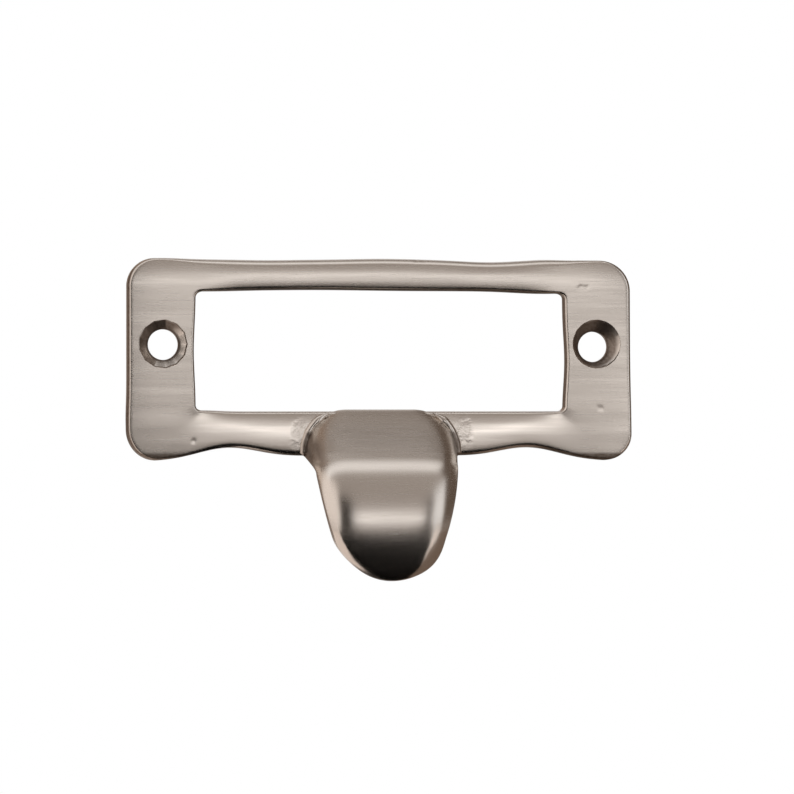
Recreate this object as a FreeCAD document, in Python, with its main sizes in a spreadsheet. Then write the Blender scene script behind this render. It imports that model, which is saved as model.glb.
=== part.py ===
import FreeCAD, Part
import math
import os
from collections import namedtuple
import Sketcher

# Label frame pull for a drawer front: a flat frame with a card window, and a finger tongue that
# hooks out and down from the lower rail. Frame and tongue are one casting.
# x runs to the right, z up, and the back of the frame lies on the drawer front at y = 0, so the
# pull stands towards -y. The origin is midway between the two screw holes, on the back face.

# Driving sizes, in millimetres and degrees.
DRIVING_SIZES = {
    # Screw holes, and the ears that carry them.
    "hole_spacing": 64,
    "hole_diameter": 4.5,
    "countersink_diameter": 7.2,
    "countersink_angle": 90,
    "hole_to_window": 4.5,
    "hole_to_side": 5.6,
    "frame_thickness": 3,
    # Card window, with its middle a little below the holes.
    "window_height": 18,
    "window_rise": 8,
    "window_upper_radius": 1.3,
    "window_lower_radius": 0.7,
    # Top rail: two long dips between a lobe in the middle and the two corners.
    "top_rail_width": 4.25,
    "lobe_rise": 0.45,
    "lobe_flat": 9,
    "lobe_run": 4,
    "corner_run": 9,
    "corner_flat": 2.1,
    "corner_radius": 4.3,
    # Lower rail: rounded feet below the ears, an arch each side, and a flare under the tongue.
    "lower_rail_width": 5.15,
    "foot_drop": 1.95,
    "foot_flat": 0.7,
    "foot_radius": 4.3,
    "foot_cheek": 3.8,
    "side_waist": 0.2,
    "waist_run": 10,
    "arch_run": 10.2,
    "flare_drop": 1.4,
    # The rails are crowned and the ears are flat, with a soft fall to their ends.
    "rail_crown": 0.75,
    "ear_fall": 0.45,
    "crown_run": 8,
    "wall_draft": 10,
    # Recess in the back that the card slides into from above.
    "rebate_depth": 0.9,
    "rebate_margin": 2,
    # Tongue, seen from the front.
    "tongue_width": 22.6,
    "tongue_length": 26.2,
    "tongue_step": 0.4,
    "tongue_draft": 5,
    "shoulder_radius": 6.3,
    "side_radius": 42,
    # Tongue, seen from the side: a slope, a bend and a curved face, with a finger hollow behind.
    "root_depth": 2.7,
    "slope_angle": 54,
    "slope_drop": 7.4,
    "bend_radius": 5,
    "face_angle": 28,
    "face_radius": 16,
    "tip_angle": 38,
    "tongue_wall": 3.2,
    "hollow_radius": 3.5,
    "underside_angle": 18,
    "tongue_round": 2,
    "tongue_back_bevel": 0.5,
}

# Places and levels worked out from the driving sizes.
WORKED_OUT = {
    # Spare stock that blanks and cuts reach past the finished faces.
    "stock_margin": "=frame_thickness / 3",
    # Frame.
    "hole_half": "=hole_spacing / 2",
    "window_half": "=hole_half - hole_to_window",
    "window_top": "=window_rise",
    "window_bottom": "=window_top - window_height",
    "window_upper_start": "=window_half - window_upper_radius",
    "window_upper_level": "=window_top - window_upper_radius",
    "window_lower_start": "=window_half - window_lower_radius",
    "window_lower_level": "=window_bottom + window_lower_radius",
    "dip_top": "=window_top + top_rail_width",
    "lobe_top": "=dip_top + lobe_rise",
    "lobe_half": "=lobe_flat / 2",
    "lobe_end": "=lobe_half + lobe_run",
    "foot_half": "=hole_half + hole_to_side",
    "side_half": "=foot_half - side_waist",
    "corner_start": "=side_half - corner_radius",
    "corner_level": "=lobe_top - corner_radius",
    "corner_rise": "=corner_start - corner_flat",
    "dip_end": "=corner_rise - corner_run",
    "arch_level": "=window_bottom - lower_rail_width",
    "foot_bottom": "=arch_level - foot_drop",
    "foot_start": "=foot_half - foot_radius",
    "foot_level": "=foot_bottom + foot_radius",
    "foot_inner": "=foot_start - foot_flat",
    "bulge_level": "=foot_level + foot_cheek",
    "waist_level": "=bulge_level + waist_run",
    "arch_half": "=foot_inner - arch_run",
    "flare_level": "=arch_level - flare_drop",
    "tongue_half": "=tongue_width / 2",
    "stock_top": "=lobe_top + stock_margin",
    "stock_bottom": "=foot_bottom - stock_margin",
    "stock_half": "=foot_half + stock_margin",
    "crown_depth": "=frame_thickness * 3",
    "stock_ceiling": "=stock_top + stock_margin",
    "stock_front": "=frame_thickness + rail_crown + stock_margin",
    "top_rail_middle": "=(window_top + dip_top) / 2",
    "lower_rail_middle": "=(window_bottom + arch_level) / 2",
    "upper_void": "=window_top - window_height / 4",
    "lower_void": "=window_bottom + window_height / 4",
    "ear_start": "=window_half + stock_margin / 2",
    "rail_fade": "=ear_start - crown_run / 2",
    "rail_end": "=ear_start - crown_run",
    "rail_quarter": "=rail_end / 2",
    "rebate_half": "=window_half + rebate_margin",
    "rebate_bottom": "=window_bottom - rebate_margin",
    # Tongue.
    "tongue_top": "=window_bottom + tongue_step",
    "tongue_tip": "=tongue_top - tongue_length",
    "shoulder_start": "=tongue_half - shoulder_radius",
    "shoulder_level": "=tongue_top - shoulder_radius",
    "side_length": "=shoulder_level - tongue_tip",
    "tip_radius": "=(side_length^2 + tongue_half^2 - 2 * tongue_half * side_radius)"
                  " / (2 * (side_length - side_radius))",
    "tip_centre": "=tongue_tip + tip_radius",
    "tip_share": "=tip_radius / (side_radius - tip_radius)",
    "tip_joint_half": "=tip_share * (side_radius - tongue_half)",
    "tip_joint_level": "=tip_centre + tip_share * (tip_centre - shoulder_level)",
    "root_back": "=(rebate_depth + frame_thickness - rail_crown) / 2",
    "slope_end": "=tongue_top - slope_drop",
    "slope_end_depth": "=root_depth + slope_drop * tan(slope_angle)",
    "slope_start": "=tongue_top + stock_margin",
    "slope_start_depth": "=root_depth - stock_margin * tan(slope_angle)",
    "bend_end": "=slope_end - bend_radius * (sin(slope_angle) - sin(face_angle))",
    "bend_end_depth": "=slope_end_depth + bend_radius * (cos(face_angle) - cos(slope_angle))",
    "face_centre": "=bend_end - face_radius * sin(face_angle)",
    "face_centre_depth": "=bend_end_depth - face_radius * cos(face_angle)",
    "face_end": "=face_centre - face_radius * sin(tip_angle)",
    "face_end_depth": "=face_centre_depth + face_radius * cos(tip_angle)",
    "exit_level": "=min(tongue_tip; face_end) - stock_margin",
    "face_exit_depth": "=face_end_depth - (face_end - exit_level) * tan(tip_angle)",
    "tongue_front": "=face_centre_depth + face_radius + stock_margin",
    "tongue_clear": "=tongue_front + stock_margin",
    "tongue_reach": "=tongue_front - root_back",
    "back_radius": "=face_radius - tongue_wall",
    "back_end": "=face_centre - back_radius * sin(tip_angle)",
    "back_end_depth": "=face_centre_depth + back_radius * cos(tip_angle)",
    "back_exit_depth": "=back_end_depth - (back_end - exit_level) * tan(tip_angle)",
    "underside_rise": "=(root_back - face_centre_depth) * sin(underside_angle)"
                      " + (flare_level - face_centre) * cos(underside_angle)",
    "hollow_rise": "=underside_rise - hollow_radius",
    "hollow_run": "=sqrt((back_radius - hollow_radius)^2 - hollow_rise^2)",
    "underside_end": "=face_centre + underside_rise * cos(underside_angle)"
                     " - hollow_run * sin(underside_angle)",
    "underside_end_depth": "=face_centre_depth + underside_rise * sin(underside_angle)"
                           " + hollow_run * cos(underside_angle)",
    "hollow_share": "=back_radius / (back_radius - hollow_radius)",
    "hollow_end": "=face_centre + hollow_share"
                  " * (hollow_rise * cos(underside_angle) - hollow_run * sin(underside_angle))",
    "hollow_end_depth": "=face_centre_depth + hollow_share"
                        " * (hollow_rise * sin(underside_angle) + hollow_run * cos(underside_angle))",
    "front_round": "=min(tongue_round; 0.65 * tongue_wall)",
    "back_bevel": "=min(tongue_back_bevel; 0.25 * tongue_wall)",
    "hollow_back_depth": "=root_back - stock_margin",
    "hollow_back_level": "=flare_level + stock_margin * tan(underside_angle)",
}

# Levels of the control points down the front of the frame, from top to bottom.
CROWN_LEVELS = (
    "stock_top", "dip_top", "top_rail_middle", "window_top", "upper_void",
    "lower_void", "window_bottom", "lower_rail_middle", "arch_level", "stock_bottom",
)
# How far each control point stands behind the front, as a share of the crown or of the ear's fall.
RAIL_SHARES = (1.8, 1.2, -0.7, 1.3, 1.2, 1.2, 1.3, -0.75, 1.2, 1.8)
EAR_SHARES = (1.0, 0.6, 0.15, 0.0, 0.0, 0.0, 0.0, 0.15, 0.6, 1.0)
# Places of the control points across the right half of the front, from the middle outwards.
RAIL_STATIONS = ("rail_quarter", "rail_end", "rail_fade")
EAR_STATIONS = ("ear_start", "hole_half", "stock_half")

VECTOR = FreeCAD.Vector
SKETCH_NORMAL = VECTOR(0, 0, 1)
SKETCH_ORIGIN = (-1, 1)
LEVEL_AXIS = -1
START, END, CENTRE = 1, 2, 3
LEFT, RIGHT = 1, -1
CROWN_DEGREE = 3
# A face looks forwards or backwards when its normal leans at least this much that way.
FACING = 0.25
# A normal lies square to an axis when it leans along it by less than this.
SQUARE = 0.001

# A corner of an outline, and how the outline comes to it: straight, by an arc of a named radius
# that turns left or right, or by an S-curve.
Corner = namedtuple("Corner", "across up radius turn sway", defaults=(None, RIGHT, False))


def fill_sheet(doc):
    """Write the driving sizes and the worked-out places to the sheet, each under its own name."""
    sheet = doc.addObject("Spreadsheet::Sheet", "Sizes")
    cells = {**DRIVING_SIZES, **WORKED_OUT}
    for row, (name, content) in enumerate(cells.items(), start=1):
        sheet.set(f"A{row}", name)
        sheet.set(f"B{row}", str(content))
        sheet.setAlias(f"B{row}", name)
    doc.recompute()
    return sheet


def read_size(sheet, name):
    """The number under a name, or its negative where the name has a minus sign."""
    number = getattr(sheet, name.lstrip("-"))
    return -number if name.startswith("-") else number


def write_size(name):
    """The expression for a name, which may have a minus sign."""
    return "-Sizes." + name[1:] if name.startswith("-") else "Sizes." + name


def add_sketch(body, name, role, offset=None):
    """Put a sketch on one of the body's origin planes, moved along its normal by a named size."""
    sketch = body.newObject("Sketcher::SketchObject", name)
    plane = next(feature for feature in body.Origin.OriginFeatures if feature.Role == role)
    sketch.AttachmentSupport = [(plane, "")]
    sketch.MapMode = "FlatFace"
    if offset:
        sketch.setExpression("AttachmentOffset.Base.z", write_size(offset))
    return sketch


def limit(sketch, kind, *parts):
    """Add a constraint to a sketch."""
    return sketch.addConstraint(Sketcher.Constraint(kind, *parts))


def bind(sketch, expression, kind, *parts):
    """Add a dimension to a sketch and tie it to the sheet."""
    sketch.setExpression(f"Constraints[{limit(sketch, kind, *parts)}]", expression)


def tie_point(sketch, sheet, geometry, position, across, up):
    """Tie a point of a sketch to two named sizes, measured from the sketch's origin."""
    for kind, name in (("DistanceX", across), ("DistanceY", up)):
        distance = read_size(sheet, name)
        bind(sketch, write_size(name), kind, *SKETCH_ORIGIN, geometry, position, distance)


def add_line(sketch, first, last):
    return sketch.addGeometry(Part.LineSegment(first, last), False), START, END


def add_arc(sketch, first, last, radius, turn):
    """Add the shorter arc from one point to another, and say which of its ends comes first."""
    chord = last - first
    side = VECTOR(-chord.y, chord.x, 0) * turn
    rise = math.sqrt(max(radius ** 2 - chord.Length ** 2 / 4, 0))
    centre = (first + last) / 2 + side * (rise / chord.Length)
    low, high = (first, last) if turn == LEFT else (last, first)
    angles = [math.atan2(point.y - centre.y, point.x - centre.x) for point in (low, high)]
    circle = Part.Circle(centre, SKETCH_NORMAL, radius)
    geometry = sketch.addGeometry(Part.ArcOfCircle(circle, *angles), False)
    return (geometry, START, END) if turn == LEFT else (geometry, END, START)


def add_sway(sketch, first, last):
    """Add two equal arcs that leave one run and come to another, both parallel to an axis."""
    chord = last - first
    level = abs(chord.x) > abs(chord.y)
    shift = chord.y * math.copysign(1, chord.x) if level else -chord.x * math.copysign(1, chord.y)
    turn = LEFT if shift > 0 else RIGHT
    radius = chord.Length ** 2 / (4 * abs(shift))
    middle = (first + last) / 2
    one = add_arc(sketch, first, middle, radius, turn)
    two = add_arc(sketch, middle, last, radius, -turn)
    square = "Vertical" if level else "Horizontal"
    limit(sketch, square, one[0], CENTRE, one[0], one[1])
    limit(sketch, square, two[0], CENTRE, two[0], two[2])
    limit(sketch, "Equal", one[0], two[0])
    limit(sketch, "Tangent", one[0], one[2], two[0], two[1])
    return one, two


def draw_chain(sketch, sheet, corners):
    """Draw a closed outline through the corners, in order, with each corner tied to its sizes."""
    runs = []
    for before, corner in zip(corners[-1:] + corners[:-1], corners):
        first, last = (VECTOR(read_size(sheet, place.across), read_size(sheet, place.up), 0)
                       for place in (before, corner))
        if corner.sway:
            one, two = add_sway(sketch, first, last)
            runs.append((one[:2], two[::2]))
        elif corner.radius:
            radius = read_size(sheet, corner.radius)
            arc = add_arc(sketch, first, last, radius, corner.turn)
            bind(sketch, write_size(corner.radius), "Radius", arc[0], radius)
            runs.append((arc[:2], arc[::2]))
        else:
            line = add_line(sketch, first, last)
            runs.append((line[:2], line[::2]))
        tie_point(sketch, sheet, *runs[-1][1], corner.across, corner.up)
    for before, run in zip(runs[-1:] + runs[:-1], runs):
        limit(sketch, "Coincident", *before[1], *run[0])


def with_mirror(corners):
    """The right half of an outline, and then its mirror image back to the start."""
    left = []
    for corner, after in zip(corners, corners[1:] + [Corner(None, None)]):
        how = after._replace(across="-" + corner.across, up=corner.up)
        left.insert(0, how)
    return corners + left


def frame_outline():
    """The outer edge of the frame: lobed top, rounded corners, feet and arches."""
    return with_mirror([
        Corner("lobe_half", "lobe_top"),
        Corner("lobe_end", "dip_top", sway=True),
        Corner("dip_end", "dip_top"),
        Corner("corner_rise", "lobe_top", sway=True),
        Corner("corner_start", "lobe_top"),
        Corner("side_half", "corner_level", "corner_radius"),
        Corner("side_half", "waist_level"),
        Corner("foot_half", "bulge_level", sway=True),
        Corner("foot_half", "foot_level"),
        Corner("foot_start", "foot_bottom", "foot_radius"),
        Corner("foot_inner", "foot_bottom"),
        Corner("arch_half", "arch_level", sway=True),
        Corner("tongue_half", "flare_level", sway=True),
    ])


def window_outline():
    return with_mirror([
        Corner("window_upper_start", "window_top"),
        Corner("window_half", "window_upper_level", "window_upper_radius"),
        Corner("window_half", "window_lower_level"),
        Corner("window_lower_start", "window_bottom", "window_lower_radius"),
    ])


def tongue_outline():
    """The tongue from the front: level top, round shoulders, bowed sides and a round tip."""
    right = [
        Corner("shoulder_start", "tongue_top"),
        Corner("tongue_half", "shoulder_level", "shoulder_radius"),
        Corner("tip_joint_half", "tip_joint_level", "side_radius"),
    ]
    outline = with_mirror(right)
    outline[len(right)] = outline[len(right)]._replace(radius="tip_radius")
    return outline


def crown_row(sheet, across, shares, fall):
    """One row of control points down the front, at a distance across from the middle."""
    falls = [share * getattr(sheet, fall) for share in shares]
    levels = [getattr(sheet, name) for name in CROWN_LEVELS]
    return [VECTOR(across, drop - sheet.frame_thickness, level) for drop, level in zip(falls, levels)]


def even_knots(count, degree):
    """Knots and their counts for a surface that ends on its outer control points."""
    spans = count - degree
    return [degree + 1] + [1] * (spans - 1) + [degree + 1], [float(knot) for knot in range(spans + 1)]


def build_crown(doc, sheet):
    """A deep block whose front is crowned over the rails and flat over the ears."""
    right = [crown_row(sheet, getattr(sheet, name), RAIL_SHARES, "rail_crown") for name in RAIL_STATIONS]
    right += [crown_row(sheet, getattr(sheet, name), EAR_SHARES, "ear_fall") for name in EAR_STATIONS]
    left = [[VECTOR(-point.x, point.y, point.z) for point in row] for row in reversed(right)]
    rows = left + [crown_row(sheet, 0, RAIL_SHARES, "rail_crown")] + right
    across_counts, across_knots = even_knots(len(rows), CROWN_DEGREE)
    up_counts, up_knots = even_knots(len(CROWN_LEVELS), CROWN_DEGREE)
    surface = Part.BSplineSurface()
    surface.buildFromPolesMultsKnots(rows, across_counts, up_counts, across_knots, up_knots,
                                     False, False, CROWN_DEGREE, CROWN_DEGREE)
    block = doc.addObject("Part::Feature", "CrownBlock")
    block.Shape = surface.toShape().extrude(VECTOR(0, sheet.crown_depth, 0))
    body = doc.addObject("PartDesign::Body", "Crown")
    body.BaseFeature = block
    doc.recompute()
    return body


def add_side_cut(body, name, sketch):
    """Cut a sketch on the upright middle plane right across the body, both ways."""
    pocket = body.newObject("PartDesign::Pocket", name)
    pocket.Profile = sketch
    pocket.Type = "ThroughAll"
    pocket.SideType = "Symmetric"
    body.Document.recompute()


def add_back_cut(body, name, sketch, length):
    """Cut a sketch on the back face forwards into the frame, as deep as a named size."""
    pocket = body.newObject("PartDesign::Pocket", name)
    pocket.Profile = sketch
    pocket.Reversed = True
    pocket.setExpression("Length", write_size(length))
    body.Document.recompute()
    return pocket


def build_frame(doc, sheet):
    """The frame: drafted blank, drafted window, crowned front, card recess and screw holes."""
    body = doc.addObject("PartDesign::Body", "Frame")
    outline = add_sketch(body, "OutlineSketch", "XZ_Plane")
    draw_chain(outline, sheet, frame_outline())
    blank = body.newObject("PartDesign::Pad", "FrameBlank")
    blank.Profile = outline
    blank.setExpression("Length", "Sizes.stock_front")
    blank.setExpression("TaperAngle", "-Sizes.wall_draft")
    doc.recompute()
    opening = add_sketch(body, "WindowSketch", "XZ_Plane")
    draw_chain(opening, sheet, window_outline())
    window = add_back_cut(body, "Window", opening, "stock_front")
    window.setExpression("TaperAngle", "Sizes.wall_draft")
    doc.recompute()
    crowned = body.newObject("PartDesign::Boolean", "CrownedFront")
    crowned.setObjects([build_crown(doc, sheet)])
    crowned.Type = "Common"
    doc.recompute()
    recess = add_sketch(body, "RecessSketch", "XZ_Plane")
    draw_chain(recess, sheet, with_mirror([
        Corner("rebate_half", "stock_ceiling"),
        Corner("rebate_half", "rebate_bottom"),
    ]))
    add_back_cut(body, "CardRecess", recess, "rebate_depth")
    add_holes(body, sheet)
    return body


def add_holes(body, sheet):
    """Two countersunk screw holes, level with the origin."""
    sketch = add_sketch(body, "HoleSketch", "XZ_Plane", "frame_thickness")
    for across in ("hole_half", "-hole_half"):
        centre = VECTOR(read_size(sheet, across), 0, 0)
        radius = sheet.hole_diameter / 2
        circle = sketch.addGeometry(Part.Circle(centre, SKETCH_NORMAL, radius), False)
        bind(sketch, write_size(across), "DistanceX", *SKETCH_ORIGIN, circle, CENTRE, centre.x)
        limit(sketch, "PointOnObject", circle, CENTRE, LEVEL_AXIS)
        bind(sketch, "Sizes.hole_diameter / 2", "Radius", circle, radius)
    body.Document.recompute()
    hole = body.newObject("PartDesign::Hole", "ScrewHoles")
    hole.Profile = sketch
    body.Document.recompute()
    hole.ThreadType = "None"
    hole.DepthType = "ThroughAll"
    hole.HoleCutType = "Countersink"
    hole.HoleCutCustomValues = True
    hole.setExpression("Diameter", "Sizes.hole_diameter")
    hole.setExpression("HoleCutDiameter", "Sizes.countersink_diameter")
    hole.setExpression("HoleCutCountersinkAngle", "Sizes.countersink_angle")
    body.Document.recompute()


def build_tongue(doc, sheet):
    """The tongue: a drafted blank from the front outline, trimmed by its side profile and rounded."""
    body = doc.addObject("PartDesign::Body", "Tongue")
    outline = add_sketch(body, "TongueSketch", "XZ_Plane", "root_back")
    draw_chain(outline, sheet, tongue_outline())
    blank = body.newObject("PartDesign::Pad", "TongueBlank")
    blank.Profile = outline
    blank.setExpression("Length", "Sizes.tongue_reach")
    blank.setExpression("TaperAngle", "-Sizes.tongue_draft")
    doc.recompute()
    face = add_sketch(body, "FaceSketch", "YZ_Plane")
    draw_chain(face, sheet, [
        Corner("-slope_start_depth", "slope_start"),
        Corner("-slope_end_depth", "slope_end"),
        Corner("-bend_end_depth", "bend_end", "bend_radius", LEFT),
        Corner("-face_end_depth", "face_end", "face_radius", LEFT),
        Corner("-face_exit_depth", "exit_level"),
        Corner("-tongue_clear", "exit_level"),
        Corner("-tongue_clear", "slope_start"),
    ])
    add_side_cut(body, "TongueFace", face)
    hollow = add_sketch(body, "HollowSketch", "YZ_Plane")
    draw_chain(hollow, sheet, [
        Corner("-hollow_back_depth", "hollow_back_level"),
        Corner("-underside_end_depth", "underside_end"),
        Corner("-hollow_end_depth", "hollow_end", "hollow_radius", LEFT),
        Corner("-back_end_depth", "back_end", "back_radius", LEFT),
        Corner("-back_exit_depth", "exit_level"),
        Corner("-hollow_back_depth", "exit_level"),
    ])
    add_side_cut(body, "FingerHollow", hollow)
    front = ease_rims(doc, "Part::Fillet", "RoundedRims", body, "front", sheet.front_round)
    return ease_rims(doc, "Part::Chamfer", "BevelledRims", front, "back", sheet.back_bevel)


def side_of_tongue(face):
    """The side of the trimmed tongue that a face belongs to. The profile's faces run straight across."""
    low, high, near, far = face.ParameterRange
    normal = face.normalAt((low + high) / 2, (near + far) / 2)
    if abs(normal.x) > SQUARE or abs(normal.y) < FACING:
        return "rim"
    if normal.y > 1 - SQUARE:
        return "root"
    return "front" if normal.y < 0 else "back"


def ease_rims(doc, kind, name, base, side, size):
    """Round or bevel the edges between the tongue's rim and one of its sides."""
    eased = doc.addObject(kind, name)
    eased.Base = base
    shape = base.Shape
    edges = []
    for number, edge in enumerate(shape.Edges, start=1):
        faces = shape.ancestorsOfType(edge, Part.Face)
        if {side_of_tongue(face) for face in faces} == {side, "rim"}:
            edges.append((number, size, size))
    eased.Edges = edges
    doc.recompute()
    return eased


def check_document(doc, part):
    """Stop if any object failed, or if the part isn't one sound solid."""
    for item in doc.Objects:
        if {"Invalid", "Error"} & set(item.State):
            raise RuntimeError(f"{item.Label} failed: {item.State}")
    if part.Shape.isNull() or not part.Shape.isValid() or len(part.Shape.Solids) != 1:
        raise RuntimeError(f"{part.Label} isn't one sound solid")


def main():
    doc = FreeCAD.newDocument("LabelFramePull")
    sheet = fill_sheet(doc)
    frame = build_frame(doc, sheet)
    tongue = build_tongue(doc, sheet)
    casting = doc.addObject("Part::Fuse", "Casting")
    casting.Base = frame
    casting.Tool = tongue
    casting.Label = "label_frame_pull"
    doc.recompute()
    check_document(doc, casting)
    os.makedirs("parts", exist_ok=True)
    casting.Shape.exportStep(f"parts/{casting.Label}.step")
    print(f"{casting.Label}: {casting.Shape.Volume:.1f} cubic millimetres")


main()
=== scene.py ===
import math

import bmesh
import bpy
import numpy as np
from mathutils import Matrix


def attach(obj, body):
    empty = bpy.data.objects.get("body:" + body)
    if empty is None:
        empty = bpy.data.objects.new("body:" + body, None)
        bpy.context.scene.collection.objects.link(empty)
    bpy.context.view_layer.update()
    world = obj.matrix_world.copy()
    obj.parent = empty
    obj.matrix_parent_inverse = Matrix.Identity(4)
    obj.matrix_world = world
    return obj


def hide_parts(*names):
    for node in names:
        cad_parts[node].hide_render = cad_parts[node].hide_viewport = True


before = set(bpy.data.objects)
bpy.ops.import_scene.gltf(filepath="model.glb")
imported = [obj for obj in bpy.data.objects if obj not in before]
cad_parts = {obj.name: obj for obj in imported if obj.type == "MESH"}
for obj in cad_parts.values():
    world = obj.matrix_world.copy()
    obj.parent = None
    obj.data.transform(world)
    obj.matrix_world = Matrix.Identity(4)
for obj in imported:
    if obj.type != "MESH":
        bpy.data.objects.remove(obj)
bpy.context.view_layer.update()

scene = bpy.context.scene
millimetre = 0.001
print("label frame pull: CAD loaded")


def ease(value, none, full):
    # smooth step: 0 up to none, 1 from full on, 3t^2 - 2t^3 between; none may be the larger number
    t = np.clip((value - none) / (full - none), 0, 1)
    return t * t * (3 - 2 * t)


def gridFaces(rows, columns, wrapRows=False, wrapColumns=False):
    # corner numbers of the quads of a grid whose points are numbered row by row
    r = np.arange(rows if wrapRows else rows - 1)
    c = np.arange(columns if wrapColumns else columns - 1)
    r, c = (g.ravel() for g in np.meshgrid(r, c, indexing="ij"))
    r1, c1 = (r + 1) % rows, (c + 1) % columns
    return np.stack([r * columns + c, r * columns + c1, r1 * columns + c1, r1 * columns + c], axis=1)


def meshPiece(name, points, faces, closed=True):
    # points in millimetres as (x, depth towards the viewer, z); faces as groups of corner arrays
    mesh = bpy.data.meshes.new(name)
    place = np.stack([points[:, 0], -points[:, 1], points[:, 2]], axis=1) * millimetre
    mesh.from_pydata(place.tolist(), [], [f for group in faces for f in group.tolist()])
    if closed:
        work = bmesh.new()
        work.from_mesh(mesh)
        bmesh.ops.delete(work, geom=[v for v in work.verts if not v.link_faces], context="VERTS")
        bmesh.ops.recalc_face_normals(work, faces=work.faces)
        work.to_mesh(mesh)
        work.free()
    mesh.update()
    piece = bpy.data.objects.new(name, mesh)
    scene.collection.objects.link(piece)
    return piece


def ripple(x, z, size, seed):
    # unevenness from about -1 to 1: twelve plane waves of about one size,
    # their directions a golden angle apart
    wave = np.arange(12)
    turn, phase = 2.4 * wave + seed, 1.7 * wave ** 2 + 3 * seed
    k = 2 * math.pi / size * (0.7 + 0.6 * np.mod(0.618 * wave, 1))
    return np.sin(x[..., None] * k * np.cos(turn) + z[..., None] * k * np.sin(turn) + phase).sum(-1) / 4


# Frame: ribs across the ring, each from the window's edge to the outer edge

frameShape = {
    "thickness": 3.0,
    "draft": 2.5,                # degrees, walls lean in towards the front
    # left, right, bottom and top edge; corner radii clockwise from the top right;
    # swells of the cast edges: middle along the edge, half length, height outwards
    "outer": {
        "edges": (-37.33, 37.36, -17.3, 12.5), "corners": (4.6, 4.0, 4.6, 4.0),
        "right": [(-13.0, 7.0, 0.17)],
        "bottom": [(22.4, 6.5, -1.75), (-22.4, 6.5, -1.75), (0.0, 19.0, -1.1)],
        "left": [(-11.0, 3.0, 0.1)],
        "top": [(0.5, 7.0, 0.18), (16.0, 5.0, -0.27), (24.5, 3.0, 0.1),
                (-32.0, 4.0, 0.15), (-17.0, 5.0, -0.08)],
    },
    "window": {
        "edges": (-27.15, 27.2, -9.83, 7.8), "corners": (1.2, 0.7, 0.9, 1.1),
        "right": [(-2.5, 5.0, 0.35)],
        "bottom": [(-26.0, 3.0, -0.15)],
        "left": [(-1.0, 5.0, 0.28)],
        "top": [(-25.0, 5.0, -0.12), (-9.0, 9.0, 0.12), (24.0, 6.0, -0.35)],
    },
    "steps": (55, 110, 300),     # stations on a corner, a short and a long edge
    "spread": 1.27, "spreadTo": 0.45,       # keep the ribs of the rails upright, up to this share of a rail
    # radii of the edges; the upper outer edge is rounder, at these heights and distances from the middle
    "windowRound": 0.45, "outerRound": 0.52, "upperRound": 0.95, "backRound": 0.2,
    "upperHeight": (9.0, 12.0), "upperReach": (33.0, 26.0),
    # slope towards the sky of the upper and the lower rail, even and square share; slope towards the ground
    "skySlope": ((0.24, 0.2), (0.1, 0.17)), "shadeSlope": (0.32, 0.22),
    "crestUpper": 0.36, "crestLower": 0.74,     # where a rail is level, from the window outwards
    # rails fade into flat ears between these distances from the middle, for the upper and the lower rail
    "earFrom": (20.0, 21.0), "earFull": (28.5, 36.0),
    "earFall": (0.065, 0.025),                  # outward slope of the left and the right ear at its end
    "earRoll": 0.022, "earRollFrom": 8.3,       # the ears roll back towards their upper edge
    # the right ear turns up a little towards its end
    "earTwist": 0.02, "twistFrom": 27.0, "twistOver": 10.0,
    # hand finishing, long shallow waves along the brushing: height, shrink along x, size, seed
    "waves": [(0.006, 0.16, 4.1, 0.8), (0.0014, 0.1, 1.4, 2.9)],
    # rough cast patches beside the tongue: x, z, half width, half height;
    # then their depth, the size of lumps and pits, and where they fade as a share of the half sizes
    "castPatches": [(-12.0, -13.5, 1.6, 3.1), (12.4, -12.9, 1.4, 3.1)],
    "patchDepth": 0.012, "patchLump": 1.3, "patchPit": 0.7, "patchFade": (1.05, 0.55),
    # dents: x, z, radius, depth
    "dents": [(5.3, 12.35, 0.3, 0.1), (6.25, 12.3, 0.26, 0.08), (29.7, 8.5, 0.3, 0.05),
              (30.5, 8.45, 0.3, 0.05), (32.7, -9.4, 0.32, 0.05), (-27.6, -14.2, 0.32, 0.05)],
    "acrossFront": 31, "acrossBack": 8, "roundSteps": 10, "wallSteps": 6, "sharpAngle": 32.0,
}


def swell(at, bumps):
    # sum of bell curves along an edge
    middle, halfLength, height = np.array(bumps).T
    return (height * np.exp(-((at[..., None] - middle) / halfLength) ** 2)).sum(-1)


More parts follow.
